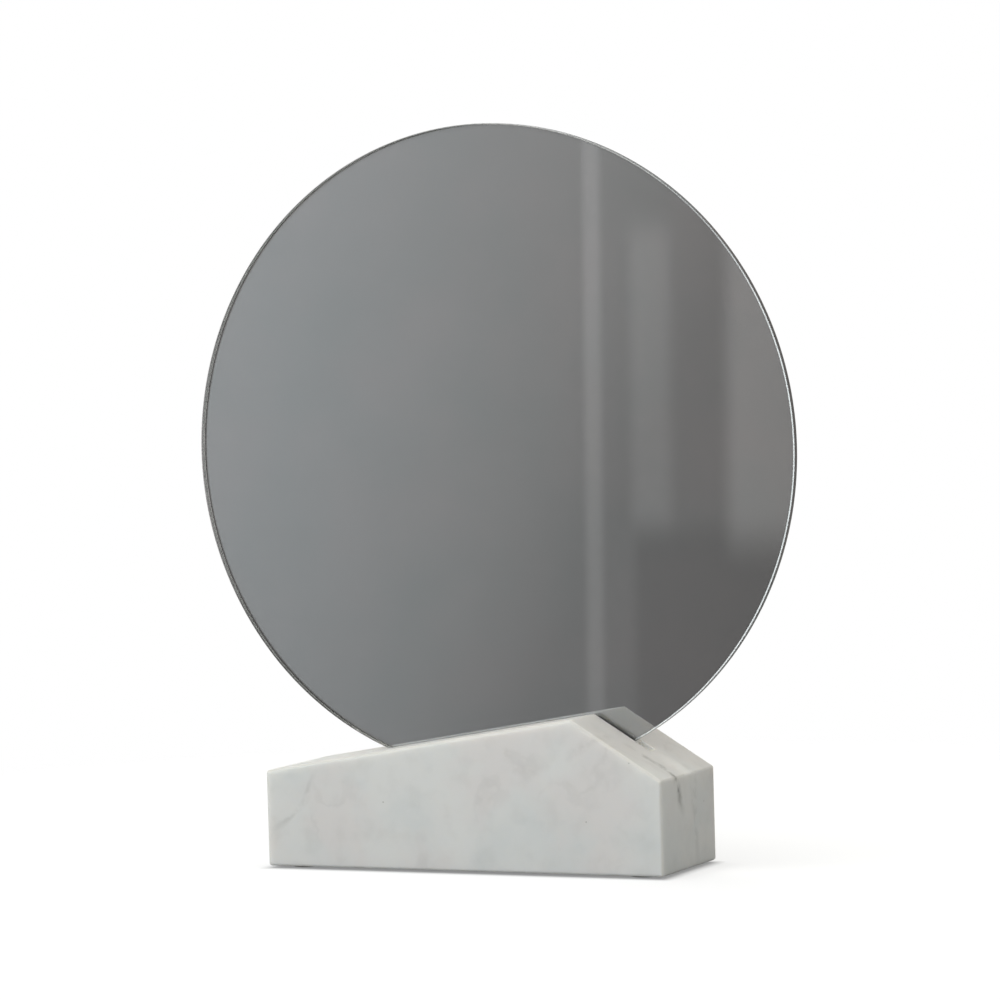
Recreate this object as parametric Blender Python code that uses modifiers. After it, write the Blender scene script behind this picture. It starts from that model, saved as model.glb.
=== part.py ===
"""Countertop mirror: a round frameless pane standing in a saw-cut slot of a ridged marble block.

Metres, +Z up, seen from -Y. The origin is on the surface that the mirror stands on, below the
pane's centre line and at the middle of the stone's depth.
"""

import math

import bmesh
import bpy

# Stone: heights are measured from its underside.
BASE_LENGTH = 0.199
BASE_DEPTH = 0.064
LEFT_END_HEIGHT = 0.0445
RIDGE_HEIGHT = 0.0705
RIGHT_END_HEIGHT = 0.0435
RIDGE_FROM_RIGHT = 0.044
ARRIS_RADIUS = 0.0014
ARRIS_SEGMENTS = 4
ARRIS_MIN_ANGLE = math.radians(20)

# Pane: a glass disc, its silver coating and the film that protects the silver.
PANE_RADIUS = 0.150
PANE_OFFSET = 0.006
SEAT_DEPTH = 0.0205
GLASS_THICKNESS = 0.004
GLASS_ARRIS = 0.00045
SILVER_THICKNESS = 0.0001
FILM_THICKNESS = 0.0002
BOND_GAP = 0.00005

# Liner: a U-section round the pane's lower rim. Its lips are this much taller than the pane is deep
# in the stone before they are trimmed just below the slot's mouth.
LINER_WALL = 0.0004
LINER_FLOOR = 0.0010
LINER_SPARE = 0.0035
LINER_RECESS = 0.0002
FACE_CLEARANCE = 0.0002
RIM_CLEARANCE = 0.0003

# Slot: cut straight down by a round blade. The blade's radius is this much larger than the liner's,
# so the slot floor is a flatter arc that runs out a little past the pane on both sides.
BLADE_EXTRA_RADIUS = 0.0487

# Setting blocks, between the slot floor and the liner.
SETTING_HEIGHT = 0.002
BLOCK_LENGTH = 0.020
BLOCK_SPACING = 0.070
BLOCK_CLEARANCE = 0.0003

# Foot pads: the margin is from a pad's rim to the edge of the stone's flat underside.
FOOT_RADIUS = 0.008
FOOT_THICKNESS = 0.001
FOOT_MARGIN = 0.0046

# Facets of the round pieces.
PANE_SEGMENTS = 128
BLADE_SEGMENTS = 256
FOOT_SEGMENTS = 48
SMOOTH_ANGLE = math.radians(30)

# Places that follow from the sizes above.
STONE_BOTTOM = FOOT_THICKNESS + BOND_GAP
BASE_LEFT = -BASE_LENGTH / 2 - PANE_OFFSET
BASE_RIGHT = BASE_LEFT + BASE_LENGTH
RIDGE_X = BASE_RIGHT - RIDGE_FROM_RIGHT
FOOT_INSET = ARRIS_RADIUS + FOOT_MARGIN + FOOT_RADIUS
PANE_THICKNESS = GLASS_THICKNESS + SILVER_THICKNESS + FILM_THICKNESS + 2 * BOND_GAP
LINER_INSIDE = PANE_THICKNESS + 2 * FACE_CLEARANCE
LINER_OUTSIDE = LINER_INSIDE + 2 * LINER_WALL
LINER_OUTER_RADIUS = PANE_RADIUS + RIM_CLEARANCE + LINER_FLOOR
BLADE_RADIUS = LINER_OUTER_RADIUS + BLADE_EXTRA_RADIUS
SLOT_WIDTH = LINER_OUTSIDE + 2 * FACE_CLEARANCE

parts = bpy.data.collections.new("countertop_mirror")
cutters = bpy.data.collections.new("cutters")


def clear_scene():
    for obj in list(bpy.data.objects):
        bpy.data.objects.remove(obj)
    bpy.context.scene.collection.children.link(parts)
    bpy.context.scene.collection.children.link(cutters)


def stone_top(x):
    """Height of the stone's top above the standing surface at x, before its arrises are rounded."""
    if x < RIDGE_X:
        share = (RIDGE_X - x) / (RIDGE_X - BASE_LEFT)
        end_height = LEFT_END_HEIGHT
    else:
        share = (x - RIDGE_X) / RIDGE_FROM_RIGHT
        end_height = RIGHT_END_HEIGHT
    return STONE_BOTTOM + RIDGE_HEIGHT + share * (end_height - RIDGE_HEIGHT)


PANE_BOTTOM = stone_top(0) - SEAT_DEPTH
PANE_CENTRE = PANE_BOTTOM + PANE_RADIUS
SLOT_FLOOR = PANE_CENTRE - LINER_OUTER_RADIUS - SETTING_HEIGHT
BLADE_CENTRE = SLOT_FLOOR + BLADE_RADIUS
PANE_FRONT = -PANE_THICKNESS / 2


def material(name, colour, roughness, metallic=0.0, transmission=0.0):
    made = bpy.data.materials.new(name)
    made.use_nodes = True
    shader = made.node_tree.nodes["Principled BSDF"]
    shader.inputs["Base Color"].default_value = (*colour, 1.0)
    shader.inputs["Roughness"].default_value = roughness
    shader.inputs["Metallic"].default_value = metallic
    shader.inputs["Transmission Weight"].default_value = transmission
    return made


def place(obj, collection):
    """Moves an object from whichever collections hold it to the one given."""
    for holder in list(obj.users_collection):
        holder.objects.unlink(obj)
    collection.objects.link(obj)


def finish_part(obj, finish, parent=None):
    """Names the part's material, smooths its round faces and hangs it on what carries it."""
    place(obj, parts)
    obj.data.materials.clear()
    obj.data.materials.append(finish)
    obj.data.shade_smooth()
    obj.data.set_sharp_from_angle(angle=SMOOTH_ANGLE)
    if parent:
        hang(obj, parent)


def hang(obj, parent):
    """Parents an object where it stands."""
    bpy.context.view_layer.update()
    obj.parent = parent
    obj.matrix_parent_inverse = parent.matrix_world.inverted()


def finish_cutter(obj):
    place(obj, cutters)
    obj.hide_render = True
    obj.display_type = "WIRE"


def empty(name, location):
    obj = bpy.data.objects.new(name, None)
    obj.location = location
    parts.objects.link(obj)
    return obj


def disc(name, radius, thickness, front, centre_height, segments):
    """A round plate with its axis along Y, its front face at y = front."""
    bpy.ops.mesh.primitive_cylinder_add(
        vertices=segments,
        radius=radius,
        depth=thickness,
        location=(0, front + thickness / 2, centre_height),
        rotation=(math.pi / 2, 0, 0),
    )
    obj = bpy.context.object
    obj.name = name
    return obj


def prism(name, outline, depth):
    """A closed mesh from an outline of (x, z) points, carried along Y by depth, centred on y = 0."""
    curve = bpy.data.curves.new(name, "CURVE")
    curve.dimensions = "2D"
    curve.fill_mode = "BOTH"
    curve.extrude = depth / 2
    spline = curve.splines.new("POLY")
    spline.points.add(len(outline) - 1)
    for point, (x, z) in zip(spline.points, outline):
        point.co = (x, z, 0, 1)
    spline.use_cyclic_u = True
    guide = bpy.data.objects.new(f"{name}_outline", curve)
    guide.rotation_euler = (math.pi / 2, 0, 0)
    parts.objects.link(guide)
    bpy.context.view_layer.update()
    evaluated = guide.evaluated_get(bpy.context.evaluated_depsgraph_get())
    mesh = bpy.data.meshes.new_from_object(evaluated)
    obj = bpy.data.objects.new(name, mesh)
    obj.matrix_world = guide.matrix_world
    bpy.data.objects.remove(guide)
    weld(mesh)
    parts.objects.link(obj)
    return obj


def weld(mesh):
    """Joins a filled curve's loose caps to its sides and leaves one face on each flat side."""
    edit = bmesh.new()
    edit.from_mesh(mesh)
    bmesh.ops.remove_doubles(edit, verts=edit.verts, dist=1e-6)
    bmesh.ops.dissolve_limit(edit, angle_limit=1e-3, verts=edit.verts, edges=edit.edges)
    bmesh.ops.recalc_face_normals(edit, faces=edit.faces)
    edit.to_mesh(mesh)
    edit.free()


def bevel(obj, width, segments):
    made = obj.modifiers.new("arrises", "BEVEL")
    made.width = width
    made.segments = segments
    made.limit_method = "ANGLE"
    made.angle_limit = ARRIS_MIN_ANGLE


def cut(obj, cutter, operation="DIFFERENCE"):
    made = obj.modifiers.new(cutter.name, "BOOLEAN")
    made.operation = operation
    made.object = cutter


def stone_outline(drop=0.0):
    """The stone's front outline as (x, z) points, with its top lowered by drop."""
    return [
        (BASE_LEFT, STONE_BOTTOM),
        (BASE_RIGHT, STONE_BOTTOM),
        (BASE_RIGHT, stone_top(BASE_RIGHT) - drop),
        (RIDGE_X, stone_top(RIDGE_X) - drop),
        (BASE_LEFT, stone_top(BASE_LEFT) - drop),
    ]


def make_base():
    """The marble block: rounded arrises all round, and the slot that the blade leaves."""
    base = prism("marble_base", stone_outline(), BASE_DEPTH)
    bevel(base, ARRIS_RADIUS, ARRIS_SEGMENTS)
    blade = disc(
        "slot_blade", BLADE_RADIUS, SLOT_WIDTH, -SLOT_WIDTH / 2, BLADE_CENTRE, BLADE_SEGMENTS
    )
    finish_cutter(blade)
    cut(base, blade)
    finish_part(base, material("honed_marble", (0.62, 0.62, 0.60), 0.4))
    return base


def make_feet(base):
    """Four felt pads on the underside, each as far in from the stone's nearest end and face."""
    felt = material("grey_felt", (0.12, 0.12, 0.12), 0.95)
    for depth_name, side_y in (("front", -1), ("rear", 1)):
        for side_name, x in (("left", BASE_LEFT + FOOT_INSET), ("right", BASE_RIGHT - FOOT_INSET)):
            bpy.ops.mesh.primitive_cylinder_add(
                vertices=FOOT_SEGMENTS,
                radius=FOOT_RADIUS,
                depth=FOOT_THICKNESS,
                location=(x, side_y * (BASE_DEPTH / 2 - FOOT_INSET), FOOT_THICKNESS / 2),
            )
            foot = bpy.context.object
            foot.name = f"{depth_name}_{side_name}_foot"
            finish_part(foot, felt, base)


def make_setting_blocks(base):
    """Two rubber blocks: cut below to the slot floor's arc and hollowed above to the liner's."""
    rubber = material("black_rubber", (0.02, 0.02, 0.02), 0.8)
    floor_round = disc(
        "block_floor_round",
        BLADE_RADIUS - BLOCK_CLEARANCE,
        SLOT_WIDTH,
        -SLOT_WIDTH / 2,
        BLADE_CENTRE,
        BLADE_SEGMENTS,
    )
    liner_round = disc(
        "block_liner_round",
        LINER_OUTER_RADIUS + BLOCK_CLEARANCE,
        SLOT_WIDTH,
        -SLOT_WIDTH / 2,
        PANE_CENTRE,
        BLADE_SEGMENTS,
    )
    finish_cutter(floor_round)
    finish_cutter(liner_round)
    blank_height = PANE_CENTRE - SLOT_FLOOR
    for side_name, x in (("left", -BLOCK_SPACING / 2), ("right", BLOCK_SPACING / 2)):
        bpy.ops.mesh.primitive_cube_add(size=1, location=(x, 0, SLOT_FLOOR + blank_height / 2))
        block = bpy.context.object
        block.name = f"{side_name}_setting_block"
        block.scale = (BLOCK_LENGTH, SLOT_WIDTH - 2 * BLOCK_CLEARANCE, blank_height)
        bpy.ops.object.transform_apply(location=False, rotation=False, scale=True)
        cut(block, floor_round, "INTERSECT")
        cut(block, liner_round)
        finish_part(block, rubber, base)


def make_liner(base):
    """The liner: a turned ring of U-section, kept only where it lies below the slot's mouth."""
    inner_half = LINER_INSIDE / 2
    outer_half = LINER_OUTSIDE / 2
    inner = PANE_RADIUS + RIM_CLEARANCE
    lip = PANE_RADIUS - SEAT_DEPTH - LINER_SPARE
    section = [
        (LINER_OUTER_RADIUS, outer_half),
        (LINER_OUTER_RADIUS, -outer_half),
        (lip, -outer_half),
        (lip, -inner_half),
        (inner, -inner_half),
        (inner, inner_half),
        (lip, inner_half),
        (lip, outer_half),
    ]
    mesh = bpy.data.meshes.new("rim_liner")
    edges = [(i, (i + 1) % len(section)) for i in range(len(section))]
    mesh.from_pydata([(radius, y, 0) for radius, y in section], edges, [])
    liner = bpy.data.objects.new("rim_liner", mesh)
    liner.location = (0, 0, PANE_CENTRE)
    turn = liner.modifiers.new("turned", "SCREW")
    turn.axis = "Y"
    turn.steps = PANE_SEGMENTS
    turn.render_steps = PANE_SEGMENTS
    turn.use_merge_vertices = True
    turn.merge_threshold = 1e-5
    parts.objects.link(liner)
    mouth = prism("slot_mouth", stone_outline(LINER_RECESS), BASE_DEPTH)
    finish_cutter(mouth)
    cut(liner, mouth, "INTERSECT")
    finish_part(liner, material("white_vinyl", (0.60, 0.60, 0.59), 0.4), base)
    return liner


def make_pane(liner):
    """Glass, silver and film, front to back, on an empty that marks the axis the pane turns on."""
    pivot = empty("pane_axis", (0, 0, PANE_CENTRE))
    hang(pivot, liner)
    coated_radius = PANE_RADIUS - GLASS_ARRIS
    glass = disc(
        "mirror_glass", PANE_RADIUS, GLASS_THICKNESS, PANE_FRONT, PANE_CENTRE, PANE_SEGMENTS
    )
    bevel(glass, GLASS_ARRIS, 1)
    finish_part(glass, material("float_glass", (0.80, 0.86, 0.84), 0.03, transmission=1.0), pivot)
    silver_front = PANE_FRONT + GLASS_THICKNESS + BOND_GAP
    silver = disc(
        "silver_coating", coated_radius, SILVER_THICKNESS, silver_front, PANE_CENTRE, PANE_SEGMENTS
    )
    finish_part(silver, material("silver", (0.60, 0.61, 0.62), 0.02, metallic=1.0), pivot)
    film_front = silver_front + SILVER_THICKNESS + BOND_GAP
    film = disc(
        "backing_film", coated_radius, FILM_THICKNESS, film_front, PANE_CENTRE, PANE_SEGMENTS
    )
    finish_part(film, material("grey_backing", (0.13, 0.14, 0.14), 0.5), pivot)


clear_scene()
stone = make_base()
make_feet(stone)
make_setting_blocks(stone)
make_pane(make_liner(stone))
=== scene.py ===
"""Looks of the countertop mirror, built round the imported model.

A round pane of silvered float glass stands in the saw-cut slot of a ridged block of honed white
marble. Every piece is a numpy surface in the model's own frame: metres, +Z up, -Y to the front.
"""

import math

import bmesh
import bpy
import numpy as np
from bpy.props import FloatProperty, FloatVectorProperty, IntProperty, PointerProperty
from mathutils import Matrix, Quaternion, Vector


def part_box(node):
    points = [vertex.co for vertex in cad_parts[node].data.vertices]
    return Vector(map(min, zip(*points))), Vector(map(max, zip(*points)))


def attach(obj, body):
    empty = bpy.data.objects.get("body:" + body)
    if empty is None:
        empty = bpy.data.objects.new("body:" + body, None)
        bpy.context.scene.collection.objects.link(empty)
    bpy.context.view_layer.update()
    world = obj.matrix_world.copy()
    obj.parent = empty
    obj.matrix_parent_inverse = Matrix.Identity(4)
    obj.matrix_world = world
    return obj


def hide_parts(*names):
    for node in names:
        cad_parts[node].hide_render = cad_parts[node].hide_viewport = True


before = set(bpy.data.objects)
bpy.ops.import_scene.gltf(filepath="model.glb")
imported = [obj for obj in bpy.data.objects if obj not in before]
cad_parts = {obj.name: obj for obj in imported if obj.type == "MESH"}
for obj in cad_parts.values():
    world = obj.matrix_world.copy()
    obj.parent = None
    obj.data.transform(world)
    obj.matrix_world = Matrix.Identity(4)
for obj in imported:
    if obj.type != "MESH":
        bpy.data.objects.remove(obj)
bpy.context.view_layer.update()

bl_info = {
    "name": "Countertop mirror",
    "version": (1, 0, 0),
    "blender": (4, 5, 0),
    "location": "View3D > Sidebar > Mirror",
    "description": "Builds the looks of a round pane standing in a marble block",
    "category": "Add Mesh",
}

MM = 0.001
# Points closer than this are one, and edges that bend more than this angle stay sharp.
WELD = 1e-6
SMOOTH_ANGLE = math.radians(30)
# Rows this close to an arris keep the flats beside it flat.
CLOSE_STEP = 0.00015
# The grid is finer for this length on both sides of the slot's ends.
RUN_OUT = 0.008
RUN_OUT_STEPS = 65
# Steps along the stone's slopes and ends, and round its arrises and eased edges.
LEFT_SLOPE_STEPS = 121
RIGHT_SLOPE_STEPS = 41
END_STEPS = 7
ARRIS_STEPS = 13
EASE_STEPS = 7
# Steps along the soft pieces and round their edges.
LINER_STEPS = 240
BLOCK_STEPS = 41
PAD_STEPS = 240
RIM_STEPS = 9
# The liner's ends are looked for at these angles from straight down, in radians.
LINER_SEARCH = np.linspace(-0.7, 0.7, 5601)
# Rounding of the setting blocks' long edges.
BLOCK_FILLET = 0.0004
# The felt pads' rounded rim and rough outline, as shares of their thickness and radius.
PAD_RIM = 0.3
PAD_FUZZ = 0.008
PAD_WAVES = np.arange(5, 60, 5)
FLOOR_RINGS = 9
FLOOR_STEPS = 128
# The floor fades out between these shares of its radius.
FLOOR_FADE = (0.7, 0.98)


def linear(code):
    """An sRGB hex colour as linear red, green and blue."""
    shares = np.array([int(code[i:i + 2], 16) for i in (1, 3, 5)]) / 255
    low = shares / 12.92
    high = ((shares + 0.055) / 1.055) ** 2.4
    return tuple(float(x) for x in np.where(shares <= 0.04045, low, high))


def length(name, default, description):
    """A size in metres, as a setting."""
    return FloatProperty(
        name=name, description=description, default=default, min=0, precision=5, unit="LENGTH"
    )


def colour(name, code, description):
    """A colour setting, from its sRGB hex value."""
    return FloatVectorProperty(
        name=name, description=description, default=linear(code), min=0, max=1, subtype="COLOR"
    )


def angle(name, degrees, description):
    """An angle setting, from degrees."""
    return FloatProperty(
        name=name, description=description, default=math.radians(degrees), subtype="ANGLE"
    )


def number(name, default, description):
    """A plain number, such as a strength."""
    return FloatProperty(name=name, description=description, default=default, min=0, precision=3)


class StoneSettings(bpy.types.PropertyGroup):
    """Sizes and colours of the marble block. Its length, depth and underside come from the frame."""

    left_end_height: length("Left end", 0.0445, "Height of the left end above the underside")
    ridge_height: length("Ridge", 0.0705, "Height of the ridge above the underside")
    right_end_height: length("Right end", 0.0435, "Height of the right end above the underside")
    ridge_from_right: length("Ridge from right", 0.044, "Distance of the ridge from the right end")
    arris_radius: length("Arris", 0.0014, "Radius of the rounded outer edges")
    blade_radius: length("Blade", 0.200, "Radius of the saw blade that cut the slot")
    mouth_arris: length("Slot mouth", 0.0008, "Radius of the eased edge along the slot's mouth")
    kerf_round: length("Kerf rounding", 0.0012, "Radius that the blade's worn rim leaves in the slot")
    ground: colour("Ground", "#D9DBDA", "Main tone of the marble")
    cloud: colour("Clouds", "#D2D6D6", "Cool grey clouds in the marble")
    blush: colour("Blush", "#D8D7D6", "Faint warmer patches in the marble")
    vein: colour("Veins", "#7E807D", "Dark core of the veins")
    # Near-white tone painted into the slot's sawn faces, which lightens the shade there.
    slot_light_tone: colour("Slurry", "#F2F3F0", "Dried saw slurry in the slot")
    # Painted shade laid on the arrises, which damps the highlights that the light puts there.
    arris_shade_tone: colour("Handled arris", "#C2C3C0", "Arrises where hands have dulled them")


class PaneSettings(bpy.types.PropertyGroup):
    """Finish of the pane. Its radius, thickness and place come from the frame."""

    arris: length("Arris", 0.00045, "Width of the ground arris on both edges of the glass")
    facets: IntProperty(name="Facets", description="Sides of the round pieces", default=1024, min=64)
    silver: colour("Silver", "#B6B8BA", "Reflecting layer, lightly smoked")
    bare_rim: length("Bare rim", 0.0001, "Part of the back arris that the silver leaves bare")
    film: colour("Backing", "#8B8E8D", "Film over the back of the silver")


class SoftSettings(bpy.types.PropertyGroup):
    """Sizes and colours of the liner, the setting blocks and the felt pads."""

    setting_height: length("Block height", 0.002, "Height between the slot floor and the liner")
    clearance: length("Clearance", 0.0003, "Gap round each setting block")
    face_clearance: length("Liner clearance", 0.0002, "Gap on each side of the liner in the slot")
    wall: length("Liner wall", 0.0004, "Wall thickness of the liner")
    floor: length("Liner floor", 0.0010, "Thickness of the liner below the pane")
    recess: length("Liner recess", 0.0009, "How far the liner's lips end below the stone's top")
    vinyl: colour("Vinyl", "#E6E7E4", "Liner")
    rubber: colour("Rubber", "#232424", "Setting blocks")
    felt: colour("Felt", "#626361", "Pads under the stone")


class StageSettings(bpy.types.PropertyGroup):
    """Camera and light."""

    azimuth: angle("Azimuth", 24.477, "Camera's turn to the right of straight ahead")
    elevation: angle("Elevation", 3.073, "Camera's height as an angle over the target")
    roll: angle("Roll", -1.602, "Turn of the camera about its own axis")
    distance: length("Distance", 2.3083, "Camera to target")
    lens: number("Lens", 180.0, "Focal length in millimetres on a 36 mm sensor")
    target: FloatVectorProperty(
        name="Target",
        description="Point at the middle of the picture",
        default=(0.00189, 0.00359, 0.16923),
        subtype="TRANSLATION",
        unit="LENGTH",
        precision=5,
    )
    top_height: length("Top height", 1.83, "Height of the top light over the target")
    top_size: length("Top size", 1.5, "Side of the top light")
    top_power: number("Top power", 28.0, "Power of the top light in watts")
    sky: number("Sky", 0.80, "Strength of the soft light from all round")
    sky_lean: number("Sky lean", 0.81, "Share by which the soft light is stronger at the front left")
    sky_cool: colour("Sky, cool side", "#FBFDFF", "Soft light from the front left")
    sky_warm: colour("Sky, warm side", "#FFF8EA", "Soft light from the back right")
    top_colour: colour("Top colour", "#FFFCF4", "Top light")
    floor_radius: length("Floor", 0.58, "Radius of the round floor")
    floor_glow: number("Floor glow", 0.52, "White that the camera sees added to the floor")
    floor: colour("Floor", "#B1B3B6", "Matt floor")


class MirrorSettings(bpy.types.PropertyGroup):
    """All settings of the countertop mirror."""

    stone: PointerProperty(type=StoneSettings)
    pane: PointerProperty(type=PaneSettings)
    soft: PointerProperty(type=SoftSettings)
    stage: PointerProperty(type=StageSettings)


# Meshes


def grid_faces(rows, columns, first, wrap):
    """Quads of a grid of points, as four indices each. With wrap, the last column joins the first."""
    row = np.arange(rows - 1)[:, None]
    column = np.arange(columns if wrap else columns - 1)[None, :]
    here = first + row * columns + column
    beside = first + row * columns + (column + 1) % columns
    return np.stack([here, beside, beside + columns, here + columns], axis=-1).reshape(-1, 4)


def mesh_of(name, patches):
    """One closed mesh from patches of (points by row and column, wrap, finish of each quad).

    Points that patches share are welded, which also closes seams and poles, and faces point outwards.
    """
    points, faces, finishes = [], [], []
    first = 0
    for grid, wrap, finish in patches:
        rows, columns = grid.shape[:2]
        quads = grid_faces(rows, columns, first, wrap)
        points.append(grid.reshape(-1, 3))
        faces.append(quads)
        finishes.append(np.broadcast_to(finish, len(quads)))
        first += rows * columns
    mesh = bpy.data.meshes.new(name)
    mesh.from_pydata(np.concatenate(points), [], np.concatenate(faces))
    mesh.polygons.foreach_set("material_index", np.concatenate(finishes).astype(np.int32))
    edit = bmesh.new()
    edit.from_mesh(mesh)
    bmesh.ops.remove_doubles(edit, verts=edit.verts, dist=WELD)
    bmesh.ops.dissolve_degenerate(edit, edges=edit.edges, dist=WELD)
    bmesh.ops.recalc_face_normals(edit, faces=edit.faces)
    edit.to_mesh(mesh)
    edit.free()
    mesh.shade_smooth()
    mesh.set_sharp_from_angle(angle=SMOOTH_ANGLE)
    return mesh


def turned(profile, centre, facets):
    """A profile of (radius, y) carried round the Y axis through centre: rows follow the profile."""
    profile = np.asarray(profile, float)
    turn = np.linspace(0, 2 * np.pi, facets, endpoint=False)
    x = profile[:, :1] * np.cos(turn)
    z = profile[:, :1] * np.sin(turn)
    y = np.broadcast_to(profile[:, 1:], x.shape)
    return np.stack([x, y, z], axis=-1) + np.asarray(centre, float)


def add_piece(name, mesh, finishes, body, slot, *nodes):
    """Puts a finished mesh in the scene, on its body and in place of its nodes."""
    for finish in finishes:
        mesh.materials.append(finish)
    piece = bpy.data.objects.new(name, mesh)
    bpy.context.scene.collection.objects.link(piece)
    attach(piece, body)
    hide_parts(*nodes)


def box_of(node):
    """A node's lowest and highest corners as arrays."""
    low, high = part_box(node)
    return np.array(low), np.array(high)


def pane_circle():
    """Centre and radius of the pane, from the glass's box."""
    low, high = box_of("mirror_glass")
    return (low + high) / 2, (high[0] - low[0]) / 2


# Stone


def stone_corners(stone):
    """The stone's sharp outline as (x, z): left bottom, right bottom, right top, ridge, left top."""
    low, high = box_of("marble_base")
    left, right, under = low[0], high[0], low[2]
    return np.array([
        (left, under),
        (right, under),
        (right, under + stone.right_end_height),
        (right - stone.ridge_from_right, under + stone.ridge_height),
        (left, under + stone.left_end_height),
    ])


def inward_normals(corners):
    """Unit normals of an outline's edges, each from one corner to the next, to the inside."""
    along = np.roll(corners, -1, axis=0) - corners
    along = along / np.linalg.norm(along, axis=1)[:, None]
    return np.stack([-along[:, 1], along[:, 0]], axis=1)


def inset(corners, depth):
    """A convex outline moved inwards by depth: neighbouring edges' moved lines are crossed."""
    inward = inward_normals(corners)
    before = np.roll(inward, 1, axis=0)
    shared = 1 + np.sum(inward * before, axis=1)
    return corners + depth * (inward + before) / shared[:, None]


def slot_section(stone, soft):
    """Half the slot's width, and the height and radius of the blade that cut its floor."""
    liner_low, liner_high = box_of("rim_liner")
    half = (liner_high[1] - liner_low[1]) / 2 + soft.face_clearance
    floor = liner_low[2] - soft.setting_height
    return half, floor + stone.blade_radius, stone.blade_radius


def crossing(start, end, centre, radius):
    """Share of the way from start to end at which a straight line crosses a circle."""
    step = end - start
    back = start - centre
    a = step @ step
    b = 2 * back @ step
    c = back @ back - radius ** 2
    roots = (-b + np.array([-1, 1]) * math.sqrt(b * b - 4 * a * c)) / (2 * a)
    return float(roots[(roots > 0) & (roots < 1)][0])


def turned_normals(start, end, count):
    """Unit normals that turn from one angle to another, in degrees."""
    angles = np.radians(np.linspace(start, end, count))
    return np.stack([np.cos(angles), np.sin(angles)], axis=1)


def flat_stops(total, count, breaks=()):
    """Shares along a flat of a given length: even steps, a close step at each end, and the breaks."""
    close = CLOSE_STEP / total
    return np.unique(np.concatenate([np.linspace(0, 1, count), [close, 1 - close], breaks]))


def stone_paths(stone, blade_centre):
    """Upper and lower paths of the outline, left to right, as inner points and unit normals.

    A point of the outline is an inner point plus the arris radius times a normal. Along a flat the
    inner point runs and the normal stays; round an arris the normal turns and the inner point stays.
    """
    corners = stone_corners(stone)
    a, b, c, ridge, g = inset(corners, stone.arris_radius)
    left_slope = math.degrees(math.atan2(ridge[1] - g[1], ridge[0] - g[0]))
    right_slope = math.degrees(math.atan2(ridge[1] - c[1], c[0] - ridge[0]))
    left_normal, right_normal = 90 + left_slope, 90 - right_slope
    points, normals = [], []

    def bend(corner, start, end):
        points.append(np.repeat(corner[None], ARRIS_STEPS, axis=0))
        normals.append(turned_normals(start, end, ARRIS_STEPS))

    def flat(start, end, degrees, count):
        normal = turned_normals(degrees, degrees, 1)
        lift = stone.arris_radius * normal[0]
        cut = crossing(start + lift, end + lift, blade_centre, stone.blade_radius)
        total = np.linalg.norm(end - start)
        run_out = np.clip(cut + np.linspace(-1, 1, RUN_OUT_STEPS) * RUN_OUT / total, 0, 1)
        stops = flat_stops(total, count, run_out)
        points.append(start + stops[:, None] * (end - start))
        normals.append(np.repeat(normal, len(stops), axis=0))

    bend(g, 180, left_normal)
    flat(g, ridge, left_normal, LEFT_SLOPE_STEPS)
    bend(ridge, left_normal, right_normal)
    flat(ridge, c, right_normal, RIGHT_SLOPE_STEPS)
    bend(c, right_normal, 0)
    upper = np.concatenate(points), np.concatenate(normals)
    run = upper[0][ARRIS_STEPS:-ARRIS_STEPS, :1]
    lower_points = np.concatenate([
        np.repeat(a[None], ARRIS_STEPS, axis=0),
        np.concatenate([run, np.full_like(run, a[1])], axis=1),
        np.repeat(b[None], ARRIS_STEPS, axis=0),
    ])
    lower_normals = np.concatenate([
        turned_normals(180, 270, ARRIS_STEPS),
        np.repeat(turned_normals(270, 270, 1), len(run), axis=0),
        turned_normals(270, 360, ARRIS_STEPS),
    ])
    return upper, (lower_points, lower_normals)


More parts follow.
